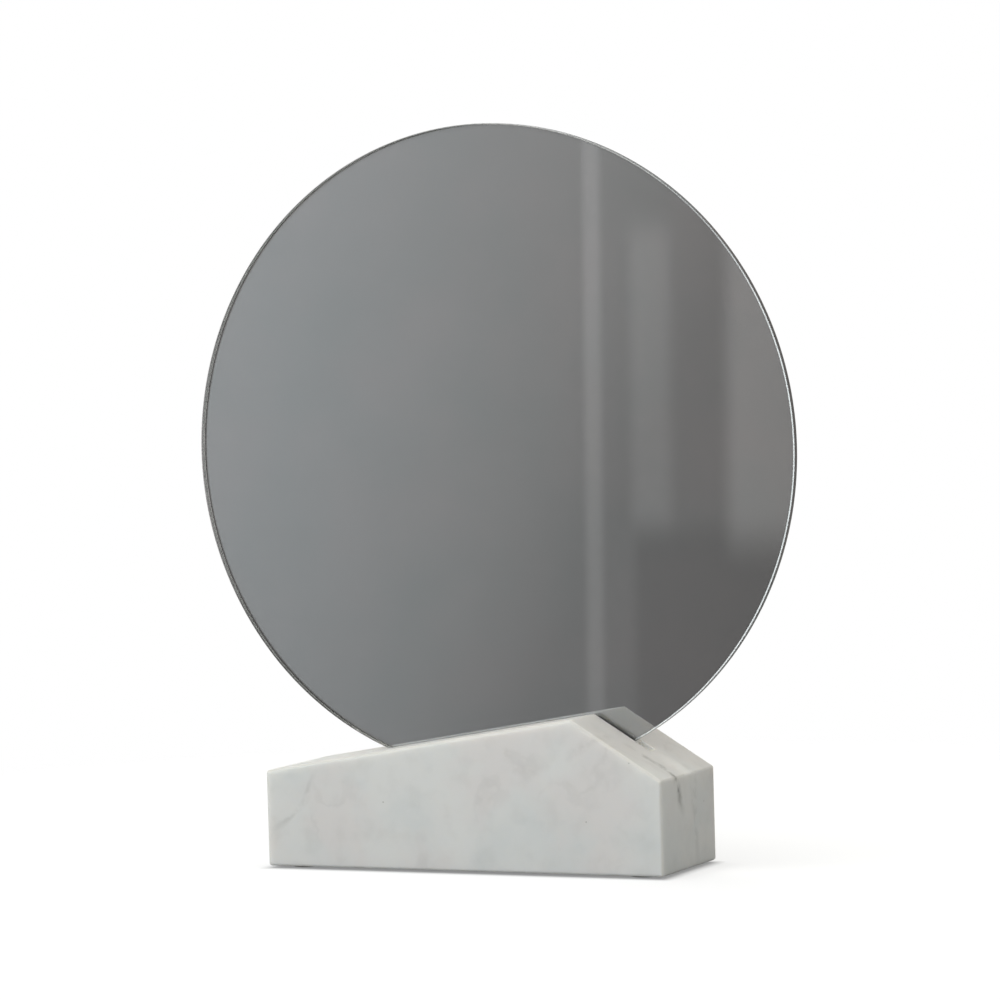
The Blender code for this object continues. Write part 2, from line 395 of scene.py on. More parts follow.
def stone_mesh(stone, soft):
    """The marble block: a loop round the outline is carried from the front face to the back face.

    At each station in depth the loop is inner point + offset x normal. The offset falls from the
    arris radius to nothing round the front and back arrises. Inside the slot the top is lowered to
    the blade's arc, z = blade centre - sqrt(blade radius^2 - x^2), where that is below the top. The
    blade's worn rim is rounded, so its radius is smaller towards the slot's two walls.
    """
    low, high = box_of("marble_base")
    radius = stone.arris_radius
    half, blade_height, blade_radius = slot_section(stone, soft)
    upper, lower = stone_paths(stone, np.array([0.0, blade_height]))
    rows = flat_stops(stone.left_end_height, END_STEPS)
    ends = [
        (lower[0][i] + rows[:, None] * (upper[0][i] - lower[0][i]), upper[1][i]) for i in (0, -1)
    ]
    left_inner, right_inner = ends[0][0][1:-1], ends[1][0][-2:0:-1]
    inner = np.concatenate([upper[0], right_inner, lower[0][::-1], left_inner])
    normal = np.concatenate([
        upper[1],
        np.repeat(upper[1][-1:], len(right_inner), axis=0),
        lower[1][::-1],
        np.repeat(upper[1][:1], len(left_inner), axis=0),
    ])

    swing = np.radians(np.linspace(90, 0, ARRIS_STEPS))
    eased = stone.mouth_arris
    mouth = half + eased
    arris_y = low[1] + radius - radius * np.sin(swing)
    worn = stone.kerf_round
    front = [(y, radius * math.cos(t), 0.0, worn) for y, t in zip(arris_y, swing)]
    flats = (low[1] + radius + CLOSE_STEP, -mouth - CLOSE_STEP)
    front += [(y, radius, 0.0, worn) for y in flats]
    front += [
        (-mouth + eased * math.sin(t), radius, eased * (1 - math.cos(t)), worn)
        for t in np.radians(np.linspace(0, 90, EASE_STEPS))
    ]
    front += [
        (-half + worn * (1 - math.cos(t)), radius, math.inf, worn * (1 - math.sin(t)))
        for t in np.radians(np.linspace(0, 90, EASE_STEPS))
    ]
    stations = front + [(0.0, radius, math.inf, 0.0)] + [(-y, *rest) for y, *rest in front[::-1]]

    y, out, cut, smaller = (np.array(column)[:, None] for column in zip(*stations))
    top = upper[0] + radius * upper[1]
    arc_floor = blade_height - np.sqrt((blade_radius - smaller) ** 2 - top[:, 0] ** 2)
    depth = np.zeros((len(stations), len(inner)))
    depth[:, :len(top)] = np.clip(top[:, 1] - arc_floor, 0, cut)
    loop = inner[None] + out[..., None] * normal[None]
    skin = np.stack(
        [loop[..., 0], np.broadcast_to(y, loop.shape[:2]), loop[..., 1] - depth], axis=-1
    )
    lowered = depth > 0
    sawn_column = lowered | np.roll(lowered, -1, axis=1)
    sawn_station = np.isinf(cut[:-1]) | np.isinf(cut[1:])
    sawn = (sawn_station & (sawn_column[:-1] | sawn_column[1:])).astype(int).ravel()

    between = lower[0][:, None] + rows[None, :, None] * (upper[0] - lower[0])[:, None]
    faces = [
        np.insert(between, 1, depth_y, axis=-1) for depth_y in (low[1], high[1])
    ]
    mesh = mesh_of("marble_block", [(skin, True, sawn), (faces[0], False, 0), (faces[1], False, 0)])
    note_arris_shade(mesh, stone, mouth)
    return mesh


def note_arris_shade(mesh, stone, mouth):
    """Notes the painted shade at each vertex, from 0 on a flat to 1 in the middle of a square arris.

    The shade damps the arrises' highlights. It is the angle between the vertex normal and the nearest
    flat's normal, over 45 degrees. In the slot it is 0.
    """
    around = np.insert(-inward_normals(stone_corners(stone)), 1, 0, axis=1)
    flats = np.concatenate([around, [(0, -1, 0), (0, 1, 0)]])
    normals = np.empty(3 * len(mesh.vertices))
    places = np.empty_like(normals)
    mesh.vertices.foreach_get("normal", normals)
    mesh.vertices.foreach_get("co", places)
    nearest = (normals.reshape(-1, 3) @ flats.T).max(axis=1)
    arris_shade = np.arccos(np.clip(nearest, -1, 1)) / math.radians(45)
    arris_shade[np.abs(places[1::3]) < mouth] = 0
    mesh.attributes.new("arris_shade", "FLOAT", "POINT").data.foreach_set("value", np.clip(arris_shade, 0, 1))


# Pane


def glass_mesh(pane):
    """The glass: a flat disc with a ground arris on both edges, turned about the pane's axis."""
    low, high = box_of("mirror_glass")
    centre, radius = pane_circle()
    front, back, arris = low[1] - centre[1], high[1] - centre[1], pane.arris
    profile = [
        (0, front),
        (radius / 2, front),
        (radius - arris, front),
        (radius, front + arris),
        (radius, back - arris),
        (radius - arris, back),
        (radius / 2, back),
        (0, back),
    ]
    disc = turned(profile, centre, pane.facets)
    ground = np.repeat([0, 0, 2, 1, 2, 0, 0], pane.facets)
    return mesh_of("glass_disc", [(disc, True, ground)])


def silver_mesh(pane):
    """The silver: a thin disc, turned about the pane's axis, whose rim bends forward at 45 degrees.

    The bent rim lies along the glass's back arris, stops short of its outer edge, and is lacquered.
    """
    low, high = box_of("silver_coating")
    centre, _ = pane_circle()
    radius = (high[0] - low[0]) / 2
    front, back = low[1] - centre[1], high[1] - centre[1]
    thick, lip = back - front, pane.arris - pane.bare_rim
    slant = thick * math.sqrt(0.5)
    profile = [
        (0, front),
        (radius / 2, front),
        (radius, front),
        (radius + lip, front - lip),
        (radius + lip + slant, front - lip + slant),
        (radius + thick * math.tan(math.pi / 8), back),
        (radius / 2, back),
        (0, back),
    ]
    lacquered = np.repeat([0, 0, 1, 1, 1, 0, 0], pane.facets)
    return mesh_of("silver_layer", [(turned(profile, centre, pane.facets), True, lacquered)])


def film_mesh(pane):
    """The film: a thin disc, turned about the pane's axis, with a rounded rim."""
    low, high = box_of("backing_film")
    centre, _ = pane_circle()
    radius, half = (high[0] - low[0]) / 2, (high[1] - low[1]) / 2
    middle = (low[1] + high[1]) / 2 - centre[1]
    swing = np.radians(np.linspace(-90, 90, RIM_STEPS))
    rim = np.stack([radius - half + half * np.cos(swing), middle + half * np.sin(swing)], axis=1)
    front = [(0, middle - half), (radius / 2, middle - half)]
    back = [(radius / 2, middle + half), (0, middle + half)]
    profile = [*front, *rim, *back]
    return mesh_of("back_film", [(turned(profile, centre, pane.facets), True, 0)])


# Soft pieces


def mouth_radius(swing, stone, soft, centre):
    """Distance from the pane's axis to the slot's mouth, by angle from straight down.

    The mouth is the stone's two slopes, lowered by the recess, and the farther one counts.
    """
    corners = stone_corners(stone) - np.array([centre[0], centre[2] + soft.recess])
    away = np.stack([np.sin(swing), -np.cos(swing)], axis=-1)
    found = []
    for start, end in ((corners[4], corners[3]), (corners[3], corners[2])):
        across = np.array([start[1] - end[1], end[0] - start[0]])
        found.append((across @ start) / (away @ across))
    return np.maximum(*found)


def end_caps(run):
    """Closes both ends of a swept section: each end's points are carried to their middle."""
    ends = run[[0, -1]]
    middles = np.broadcast_to(ends.mean(axis=1, keepdims=True), ends.shape)
    return [(np.stack([end, middle]), True, 0) for end, middle in zip(ends, middles)]


def liner_mesh(stone, soft):
    """The liner: a U-section carried along the pane's lower rim.

    Its floor follows the rim, and its lips end just below the slot's mouth. Towards both ends the
    mouth comes down to the floor and the section shrinks with it: each radius is the larger of its
    own and the mouth's.
    """
    low, high = box_of("rim_liner")
    centre, _ = pane_circle()
    outside = (high[1] - low[1]) / 2
    inside = outside - soft.wall
    outer = centre[2] - low[2]
    inner, fillet = outer - soft.floor, soft.wall / 2
    half = [
        (0.0, fillet, outside),
        (outer - 2 * fillet, 0.0, outside),
        (outer, 0.0, outside - 2 * fillet),
    ]
    hollow = [
        (inner, fillet, inside - fillet),
        (inner - fillet, fillet, inside),
        (0.0, fillet, inside),
    ]
    lip = [(0.0, 0.0, outside - fillet)]
    outer_path = half + [(r, drop, -y) for r, drop, y in half[::-1]]
    inner_path = [(r, drop, -y) for r, drop, y in hollow[::-1]] + hollow
    section = outer_path + [(r, drop, -y) for r, drop, y in lip] + inner_path + lip
    own, drop, across = (np.array(column) for column in zip(*section))

    under = LINER_SEARCH[mouth_radius(LINER_SEARCH, stone, soft, centre) < outer - soft.wall]
    ridge = stone_corners(stone)[3] - np.array([centre[0], centre[2]])
    swing = np.append(np.linspace(under[0], under[-1], LINER_STEPS), math.atan2(ridge[0], -ridge[1]))
    swing = np.sort(swing)[:, None]
    mouth = mouth_radius(swing[:, 0], stone, soft, centre)[:, None]
    reach = np.maximum(own, mouth + drop)
    run = np.stack(
        [
            centre[0] + reach * np.sin(swing),
            np.broadcast_to(across, reach.shape),
            centre[2] - reach * np.cos(swing),
        ],
        axis=-1,
    )
    return mesh_of("vinyl_liner", [(run, True, 0), *end_caps(run)])


def setting_block_mesh(name, node, stone, soft):
    """A setting block: a rounded strip whose underside follows the slot floor and top the liner."""
    low, high = box_of(node)
    centre, _ = pane_circle()
    liner_low, _ = box_of("rim_liner")
    _, blade_height, blade_radius = slot_section(stone, soft)
    x = np.linspace(low[0], high[0], BLOCK_STEPS)
    bottom = blade_height - np.sqrt((blade_radius - soft.clearance) ** 2 - x ** 2)
    liner_radius = centre[2] - liner_low[2] + soft.clearance
    top = centre[2] - np.sqrt(liner_radius ** 2 - x ** 2)
    # Round the section at even angles, half a step off the axes so that each point has its corner.
    swing = np.radians(np.arange(7.5, 360, 15))
    across, up = np.sign(np.cos(swing)), np.sign(np.sin(swing))
    half = (high[1] - low[1]) / 2
    y = across * (half - BLOCK_FILLET) + BLOCK_FILLET * np.cos(swing)
    middle, rise = (top + bottom) / 2, (top - bottom) / 2
    z = middle[:, None] + up * (rise[:, None] - BLOCK_FILLET) + BLOCK_FILLET * np.sin(swing)
    body = np.stack(
        [np.broadcast_to(x[:, None], z.shape), np.broadcast_to(y, z.shape), z], axis=-1
    )
    return mesh_of(name, [(body, True, 0), *end_caps(body)])


def felt_pad_mesh(name, node, seed):
    """A felt pad: a low turned disc with a soft rim, its outline roughened by a few small waves."""
    low, high = box_of(node)
    centre = (low + high) / 2
    radius, thick = (high[0] - low[0]) / 2, high[2] - low[2]
    chance = np.random.default_rng(seed)
    turn = np.linspace(0, 2 * np.pi, PAD_STEPS, endpoint=False)
    phase = chance.uniform(0, 2 * np.pi, len(PAD_WAVES))
    rough = np.mean(np.sin(PAD_WAVES[:, None] * turn + phase[:, None]), axis=0)
    rim = thick * PAD_RIM
    swing = np.radians(np.linspace(-90, 90, RIM_STEPS))
    reach = np.concatenate([[0, radius / 2], radius - rim + rim * np.cos(swing), [radius / 2, 0]])
    height = np.concatenate([[0, 0], thick / 2 + (thick / 2) * np.sin(swing), [thick, thick]])
    fuzz = 1 - PAD_FUZZ * (1 + rough)
    x = centre[0] + reach[:, None] * np.cos(turn) * fuzz
    y = centre[1] + reach[:, None] * np.sin(turn) * fuzz
    z = low[2] + np.broadcast_to(height[:, None], x.shape)
    return mesh_of(name, [(np.stack([x, y, z], axis=-1), True, 0)])


# Materials


def add(tree, kind, inputs=(), out=0, **options):
    """Adds one shader node and gives back one of its outputs.

    Options are the node's own settings. Inputs are values, or the outputs that feed it, by socket
    name or in order.
    """
    made = tree.nodes.new("ShaderNode" + kind)
    for name, value in options.items():
        setattr(made, name, value)
    for name, value in (inputs if isinstance(inputs, dict) else dict(enumerate(inputs))).items():
        socket = made.inputs[name]
        if isinstance(value, bpy.types.NodeSocket):
            tree.links.new(value, socket)
        elif socket.type == "RGBA":
            socket.default_value = (*value[:3], 1.0)
        else:
            socket.default_value = value
    return made.outputs[out] if made.outputs else made


def per_metre(millimetres):
    """Texture scale, in repeats per metre, of a pattern of the given size."""
    return 1000 / millimetres


# A wave texture's phase is 20 radians in one texture unit.
WAVE_TURN = 2 * math.pi / 20


def new_material(name):
    """An empty material, its node tree and the Object coordinates that its patterns read."""
    made = bpy.data.materials.new(name)
    made.use_nodes = True
    made.node_tree.nodes.clear()
    return made, made.node_tree, add(made.node_tree, "TexCoord", out="Object")


# Each vein is a thin sheet through the block: the direction it faces, a point on it, its half
# thickness and its reach round that point in millimetres, and how dark it is.
VEINS = (
    ((0.16, 0.94, 0.31), (91, -13, 42), 2.2, 16, 0.9),
    ((0.16, 0.94, 0.31), (86, -13, 45), 4.0, 24, 0.5),
    ((0.30, 1.00, 0.10), (99, 6, 26), 6.0, 34, 0.22),
    ((0.81, 0.00, -0.59), (-91, -32, 29), 2.5, 24, 0.22),
    ((0.50, 0.10, -0.86), (60, -32, 62), 4.0, 22, 0.16),
    ((-0.45, 0.30, 0.84), (20, 30, 26), 3.0, 70, 0.25),
    ((0.60, -0.20, 0.77), (-70, 30, 20), 2.5, 60, 0.20),
)

# How far red, green and blue light travel in marble before they scatter, in millimetres.
MARBLE_DEPTH = (6.0, 5.7, 5.2)


def honed_marble(stone):
    """White marble, sawn and honed.

    Honing leaves a soft sheen on an almost even white. Up close the eye finds cool clouds a few
    centimetres wide, faint wisps, one short dark vein that breaks up and fades, and a few specks.
    The arrises carry painted shade that damps their highlights.
    """
    made, tree, where = new_material("honed_white_marble")
    drift = add(tree, "TexNoise", {"Vector": where, "Scale": per_metre(26), "Detail": 3.0}, "Color")
    centred = add(tree, "VectorMath", (drift, (0.5, 0.5, 0.5)), operation="SUBTRACT")
    shift = add(tree, "VectorMath", {0: centred, "Scale": 16 * MM}, operation="SCALE")
    bent = add(tree, "VectorMath", (where, shift), operation="ADD")

    lumps = add(tree, "TexNoise", {"Vector": bent, "Scale": per_metre(36), "Detail": 5.0})
    clouds = add(tree, "MapRange", (lumps, 0.42, 0.68, 0.0, 0.9), interpolation_type="SMOOTHSTEP")
    tone = add(tree, "Mix", {0: clouds, 6: stone.ground, 7: stone.cloud}, 2, data_type="RGBA")
    patches = add(tree, "TexNoise", {"Vector": bent, "Scale": per_metre(52), "Detail": 4.0}, "Color")
    patch = add(tree, "SeparateColor", (patches,), "Green")
    blush = add(tree, "MapRange", (patch, 0.44, 0.62, 0.0, 0.9), interpolation_type="SMOOTHSTEP")
    tone = add(tree, "Mix", {0: blush, 6: tone, 7: stone.blush}, 2, data_type="RGBA")

    # Wisps lie where a slow noise crosses its middle value, and a fine mottle lies everywhere.
    folds = add(tree, "TexNoise", {"Vector": bent, "Scale": per_metre(46), "Detail": 5.0})
    past = add(tree, "Math", (folds, 0.5), operation="SUBTRACT")
    off = add(tree, "Math", (past,), operation="ABSOLUTE")
    wisp = add(tree, "MapRange", (off, 0.0, 0.03, 0.07, 0.0), interpolation_type="SMOOTHSTEP")
    shown = add(tree, "MapRange", (patch, 0.48, 0.60), interpolation_type="SMOOTHSTEP")
    wisp = add(tree, "Math", (wisp, shown), operation="MULTIPLY")
    mottle = add(tree, "TexNoise", {"Vector": where, "Scale": per_metre(11), "Detail": 5.0})
    mottle = add(tree, "MapRange", (mottle, 0.45, 0.75, 0.0, 0.08), interpolation_type="SMOOTHSTEP")
    dark = add(tree, "Math", (wisp, mottle), operation="ADD")

    breaks = add(tree, "TexNoise", {"Vector": where, "Scale": per_metre(8), "Detail": 4.0})
    swell = add(tree, "MapRange", (breaks, 0.40, 0.60, 0.05, 1.0), interpolation_type="SMOOTHSTEP")
    for facing, point, half, reach, strength in VEINS:
        facing, point = Vector(facing).normalized(), Vector(point) * MM
        along = add(tree, "VectorMath", (bent, facing), "Value", operation="DOT_PRODUCT")
        past = add(tree, "Math", (along, facing.dot(point)), operation="SUBTRACT")
        off = add(tree, "Math", (past,), operation="ABSOLUTE")
        core = (off, 0.0, half * MM, strength, 0.0)
        core = add(tree, "MapRange", core, interpolation_type="SMOOTHSTEP")
        away = add(tree, "VectorMath", (where, point), "Value", operation="DISTANCE")
        held = add(tree, "MapRange", (away, reach / 3 * MM, reach * MM, 1.0, 0.0))
        vein = add(tree, "Math", (core, held), operation="MULTIPLY")
        vein = add(tree, "Math", (vein, swell), operation="MULTIPLY")
        dark = add(tree, "Math", (dark, vein), operation="MAXIMUM")
    tone = add(tree, "Mix", {0: dark, 6: tone, 7: stone.vein}, 2, data_type="RGBA")

    # Painted shade darkens the arrises to damp their highlights, more in some places than in others.
    arris_shade = add(tree, "Attribute", out="Fac", attribute_name="arris_shade")
    uneven = add(tree, "MapRange", (breaks, 0.35, 0.65, 0.7, 1.0))
    darkened = add(tree, "Math", (arris_shade, uneven), operation="MULTIPLY")
    tone = add(tree, "Mix", {0: darkened, 6: tone, 7: stone.arris_shade_tone}, 2, data_type="RGBA")

    cells = add(tree, "TexVoronoi", {"Vector": where, "Scale": per_metre(18)})
    speck = add(tree, "MapRange", (cells, 0.012, 0.028, 0.5, 0.0), interpolation_type="SMOOTHSTEP")
    tone = add(tree, "Mix", {0: speck, 6: tone, 7: stone.vein}, 2, data_type="RGBA")

    # Marble's crystals are about half a millimetre across, drawn twice as coarse to show.
    grain = add(tree, "TexNoise", {"Vector": where, "Scale": per_metre(1.0), "Detail": 2.0})
    sheen = add(tree, "MapRange", (grain, 0.3, 0.7, 0.40, 0.50))
    lift = add(tree, "Bump", {"Height": grain, "Distance": 0.01 * MM, "Strength": 0.3})
    shader = add(tree, "BsdfPrincipled", {
        "Base Color": tone,
        "Roughness": sheen,
        "IOR": 1.5,
        "Specular IOR Level": 0.2,
        "Subsurface Weight": 1.0,
        "Subsurface Radius": MARBLE_DEPTH,
        "Subsurface Scale": MM,
        "Normal": lift,
    })
    add(tree, "OutputMaterial", {"Surface": shader})
    return made


def sawn_marble(stone):
    """White marble as a wet blade leaves it: matt and scratched along the cut.

    Its tone is painted near-white, which lightens the shade inside the slot.
    """
    made, tree, where = new_material("sawn_white_marble")
    marks = add(tree, "TexWave", {
        "Vector": where,
        "Scale": per_metre(1.6) * WAVE_TURN,
        "Distortion": 2.0,
        "Detail": 3.0,
        "Detail Scale": 2.0,
    }, "Fac", bands_direction="Z")
    grain = add(tree, "TexNoise", {"Vector": where, "Scale": per_metre(1.5), "Detail": 3.0})
    # Painted light: the near-white tone lightens the shade inside the slot.
    tone = add(tree, "Mix", {0: grain, 6: stone.slot_light_tone, 7: stone.ground}, 2, data_type="RGBA")
    lift = add(tree, "Bump", {"Height": marks, "Distance": 0.1 * MM, "Strength": 0.4})
    shader = add(tree, "BsdfPrincipled", {
        "Base Color": tone,
        "Roughness": 0.7,
        "IOR": 1.5,
        "Subsurface Weight": 1.0,
        "Subsurface Radius": MARBLE_DEPTH,
        "Subsurface Scale": MM,
        "Normal": lift,
    })
    add(tree, "OutputMaterial", {"Surface": shader})
    return made


def float_glass():
    """Clear float glass: drawn flat on molten tin, so both faces are smooth and all but colourless.

    Wiping leaves a film that is too thin to blur it and takes a trace of the light, in wide smears.
    """
    made, tree, where = new_material("clear_float_glass")
    smears = add(tree, "TexNoise", {"Vector": where, "Scale": per_metre(60), "Detail": 3.0})
    film = add(tree, "MapRange", (smears, 0.35, 0.65))
    tone = {0: film, 6: linear("#FFFFFF"), 7: linear("#FBFDFD")}
    tone = add(tree, "Mix", tone, 2, data_type="RGBA")
    shader = add(tree, "BsdfPrincipled", {
        "Base Color": tone,
        "Roughness": 0.0,
        "IOR": 1.52,
        "Transmission Weight": 1.0,
    })
    add(tree, "OutputMaterial", {"Surface": shader})
    return made


# Finest and coarsest roughness: the rim is polished after grinding, and its arrises stay frosted.
RIM_ROUGHNESS = (0.05, 0.14)
ARRIS_ROUGHNESS = (0.22, 0.32)


def ground_glass(name, finest, coarsest):
    """Float glass ground on a wet belt: fine lines blur it, and the glass's green body shows."""
    made, tree, where = new_material(name)
    # Grit lines of a tenth of a millimetre, drawn eight times as coarse to show.
    grit = add(tree, "TexNoise", {"Vector": where, "Scale": per_metre(0.8), "Detail": 2.0})
    blur = add(tree, "MapRange", (grit, 0.3, 0.7, finest, coarsest))
    tone = add(tree, "Mix", {0: grit, 6: linear("#EAEEEB"), 7: linear("#F7FAF8")}, 2, data_type="RGBA")
    shader = add(tree, "BsdfPrincipled", {
        "Base Color": tone,
        "Roughness": blur,
        "IOR": 1.52,
        "Transmission Weight": 1.0,
    })
    add(tree, "OutputMaterial", {"Surface": shader})
    return made


def chemical_silver(pane):
    """Silver laid chemically on glass: a perfect mirror, here smoked to give back half the light.

    The layer is a little uneven, and damp has dulled it at the very rim.
    """
    made, tree, where = new_material("chemical_silvering")
    centre, radius = pane_circle()
    clouds = add(tree, "TexNoise", {"Vector": where, "Scale": per_metre(80), "Detail": 2.0})
    uneven = add(tree, "MapRange", (clouds, 0.3, 0.7, 0.0, 0.05))
    away = add(tree, "VectorMath", (where, tuple(centre)), "Value", operation="DISTANCE")
    darkened = add(tree, "MapRange", (away, radius - 2.5 * MM, radius - 0.6 * MM, 0.0, 0.35))
    share = add(tree, "Math", (uneven, darkened), operation="MAXIMUM")
    tone = add(tree, "Mix", {0: share, 6: pane.silver, 7: linear("#8E908F")}, 2, data_type="RGBA")
    shader = add(tree, "BsdfPrincipled", {
        "Base Color": tone,
        "Metallic": 1.0,
        "Roughness": 0.0,
    })
    add(tree, "OutputMaterial", {"Surface": shader})
    return made


def edge_lacquer():
    """Pale grey lacquer brushed over the silver's edge against damp: matt, uneven from the brush."""
    made, tree, where = new_material("brushed_edge_lacquer")
    strokes = add(tree, "TexNoise", {"Vector": where, "Scale": per_metre(3), "Detail": 3.0})
    tone = {0: strokes, 6: linear("#BCC0BE"), 7: linear("#D4D8D6")}
    tone = add(tree, "Mix", tone, 2, data_type="RGBA")
    matt = add(tree, "MapRange", (strokes, 0.3, 0.7, 0.55, 0.7))
    shader = add(tree, "BsdfPrincipled", {
        "Base Color": tone,
        "Roughness": matt,
    })
    add(tree, "OutputMaterial", {"Surface": shader})
    return made


def scrim_film(pane):
    """Polyethylene film over a thread scrim, glued to the silver: satin, with a fine square relief."""
    made, tree, where = new_material("scrim_backed_film")
    relief = None
    for direction in ("X", "Z"):
        threads = add(tree, "TexWave", {
            "Vector": where,
            "Scale": per_metre(5.0) * WAVE_TURN,
            "Distortion": 0.4,
            "Detail Scale": 3.0,
        }, "Fac", bands_direction=direction)
        thread = add(tree, "MapRange", (threads, 0.75, 1.0), interpolation_type="SMOOTHSTEP")
        relief = add(tree, "Math", (relief, thread), operation="MAXIMUM") if relief else thread
    smudge = add(tree, "TexNoise", {"Vector": where, "Scale": per_metre(60), "Detail": 3.0})
    worn = add(tree, "MapRange", (smudge, 0.35, 0.7, 0.0, 0.3))
    shade = add(tree, "Mix", {0: worn, 6: pane.film, 7: linear("#707372")}, 2, data_type="RGBA")
    raised = add(tree, "MapRange", (relief, 0.0, 1.0, 0.0, 0.14))
    shade = add(tree, "Mix", {0: raised, 6: shade, 7: linear("#ADB0AF")}, 2, data_type="RGBA")
    lift = add(tree, "Bump", {"Height": relief, "Distance": 0.08 * MM, "Strength": 0.6})
    gloss = add(tree, "MapRange", (smudge, 0.3, 0.7, 0.38, 0.5))
    shader = add(tree, "BsdfPrincipled", {
        "Base Color": shade,
        "Roughness": gloss,
        "Normal": lift,
    })
    add(tree, "OutputMaterial", {"Surface": shader})
    return made


def soft_vinyl(soft):
    """Plasticised vinyl, extruded white: milky, so its thin walls glow a little, with a soft gloss."""
    made, tree, where = new_material("extruded_white_vinyl")
    streaks = add(tree, "TexNoise", {"Vector": where, "Scale": per_metre(4)})
    gloss = add(tree, "MapRange", (streaks, 0.3, 0.7, 0.3, 0.45))
    tone = add(tree, "Mix", {0: streaks, 6: soft.vinyl, 7: linear("#F2F3F0")}, 2, data_type="RGBA")
    shader = add(tree, "BsdfPrincipled", {
        "Base Color": tone,
        "Roughness": gloss,
        "IOR": 1.53,
        "Subsurface Weight": 1.0,
        "Subsurface Radius": (1.0, 1.0, 1.0),
        "Subsurface Scale": 4 * MM,
    })
    add(tree, "OutputMaterial", {"Surface": shader})
    return made


def setting_rubber(soft):
    """Moulded black rubber: matt, with the fine pebble of its mould and a dusty bloom."""
    made, tree, where = new_material("moulded_black_rubber")
    pebble = add(tree, "TexNoise", {"Vector": where, "Scale": per_metre(0.6), "Detail": 2.0})
    dust = add(tree, "TexNoise", {"Vector": where, "Scale": per_metre(5)})
    bloom = add(tree, "MapRange", (dust, 0.45, 0.75, 0.0, 0.35))
    tone = add(tree, "Mix", {0: bloom, 6: soft.rubber, 7: linear("#454646")}, 2, data_type="RGBA")
    lift = add(tree, "Bump", {"Height": pebble, "Distance": 0.05 * MM, "Strength": 0.5})
    shader = add(tree, "BsdfPrincipled", {
        "Base Color": tone,
        "Roughness": 0.75,
        "Normal": lift,
    })
    add(tree, "OutputMaterial", {"Surface": shader})
    return made


def wool_felt(soft):
    """Pressed wool felt: no gloss, fibres lying every way, with a pale fuzz at grazing angles."""
    made, tree, where = new_material("pressed_wool_felt")
    # Fibres of a few hundredths of a millimetre, drawn as tufts.
    tufts = {"Vector": where, "Scale": per_metre(0.9), "Detail": 6.0, "Roughness": 0.75}
    fibre = add(tree, "TexNoise", tufts)
    share = add(tree, "MapRange", (fibre, 0.3, 0.7))
    tone = add(tree, "Mix", {0: share, 6: linear("#4B4B4A"), 7: soft.felt}, 2, data_type="RGBA")
    lift = add(tree, "Bump", {"Height": fibre, "Distance": 0.3 * MM, "Strength": 0.8})
    shader = add(tree, "BsdfPrincipled", {
        "Base Color": tone,
        "Roughness": 1.0,
        "Normal": lift,
        "Sheen Weight": 0.4,
        "Sheen Roughness": 0.5,
    })
    add(tree, "OutputMaterial", {"Surface": shader})
    return made


# Width of the strip round the stone in which less white is added, and the share added right at it.
SHADOW_EDGE = 0.005
SHADOW_SHARE = 0.5


def matt_floor(stage):
    """Matt white laminate that fades out at its rim.

    The camera sees a little white added, so that open floor matches the white background. Less is
    added close under the stone, so its shadow there stays dark.
    """
    made, tree, where = new_material("matt_white_laminate")
    low, high = box_of("marble_base")
    middle, half = (low + high) / 2, (high - low) / 2
    aside = add(tree, "VectorMath", (where, (middle[0], middle[1], 0.0)), operation="SUBTRACT")
    aside = add(tree, "VectorMath", (aside,), operation="ABSOLUTE")
    beyond = add(tree, "VectorMath", (aside, (half[0], half[1], 0.0)), operation="SUBTRACT")
    beyond = add(tree, "VectorMath", (beyond, (0.0, 0.0, 0.0)), operation="MAXIMUM")
    gap = add(tree, "VectorMath", (beyond,), "Value", operation="LENGTH")
    seen = add(tree, "LightPath", out="Is Camera Ray")
    least = SHADOW_SHARE * stage.floor_glow
    most = add(tree, "MapRange", (gap, 0.0, SHADOW_EDGE, least, stage.floor_glow))
    glow = add(tree, "Math", (seen, most), operation="MULTIPLY")
    grain = add(tree, "TexNoise", {"Vector": where, "Scale": per_metre(1.2), "Detail": 2.0})
    matt = add(tree, "MapRange", (grain, 0.3, 0.7, 0.8, 0.95))
    sheet = add(tree, "BsdfPrincipled", {
        "Base Color": stage.floor,
        "Roughness": matt,
        "Specular IOR Level": 0.2,
        "Emission Color": (1.0, 1.0, 1.0),
        "Emission Strength": glow,
    })
    away = add(tree, "VectorMath", (where,), "Value", operation="LENGTH")
    fade = [share * stage.floor_radius for share in FLOOR_FADE]
    gone = add(tree, "MapRange", (away, *fade), interpolation_type="SMOOTHSTEP")
    mixed = add(tree, "MixShader", (gone, sheet, add(tree, "BsdfTransparent")))
    add(tree, "OutputMaterial", {"Surface": mixed})
    return made


# Stage

# Light levels that gloss and glass see round the horizon: degrees right of straight ahead, level.
ROOM = (
    (-125, 0.65),
    (-80, 0.55),
    (-64, 1.0),
    (-54, 2.0),
    (-42, 2.0),
    (-34, 0.94),
    (-30, 0.68),
    (-25.6, 0.494),
    (-23.4, 0.388),
    (-23.1, 0.335),
    (-20, 0.272),
    (-8, 0.27),
    (12, 0.32),
    (24, 0.90),
    (60, 0.37),
    (125, 0.65),
)
ROOM_PEAK = 2.2

# Soft uprights in the room: left and right side and their softness in degrees, lowest and highest
# elevation and their softness in degrees, and the share by which they lighten what is behind them.
UPRIGHTS = (
    (-23.44, -23.25, 0.13, -90, 90, 1.0, 0.29),
    (-22.90, -22.46, 0.24, -3.45, 0.0, 0.6, 0.24),
    (-21.80, -19.50, 0.30, -3.72, 1.5, 0.6, 0.48),
    (-22.88, -10.0, 0.20, -90, -3.45, 0.5, -0.16),
)
# Degrees that the uprights lean to the right for each degree of height.
UPRIGHT_LEAN = 0.017
# The greys slant by this many degrees of turn for each degree of height, between the lowest and the
# highest of these heights, and are unmoved at the middle one.
ROOM_SLANT = 0.5
SLANT_LOWEST, SLANT_LEVEL, SLANT_HIGHEST = -10.0, -2.0, 8.0
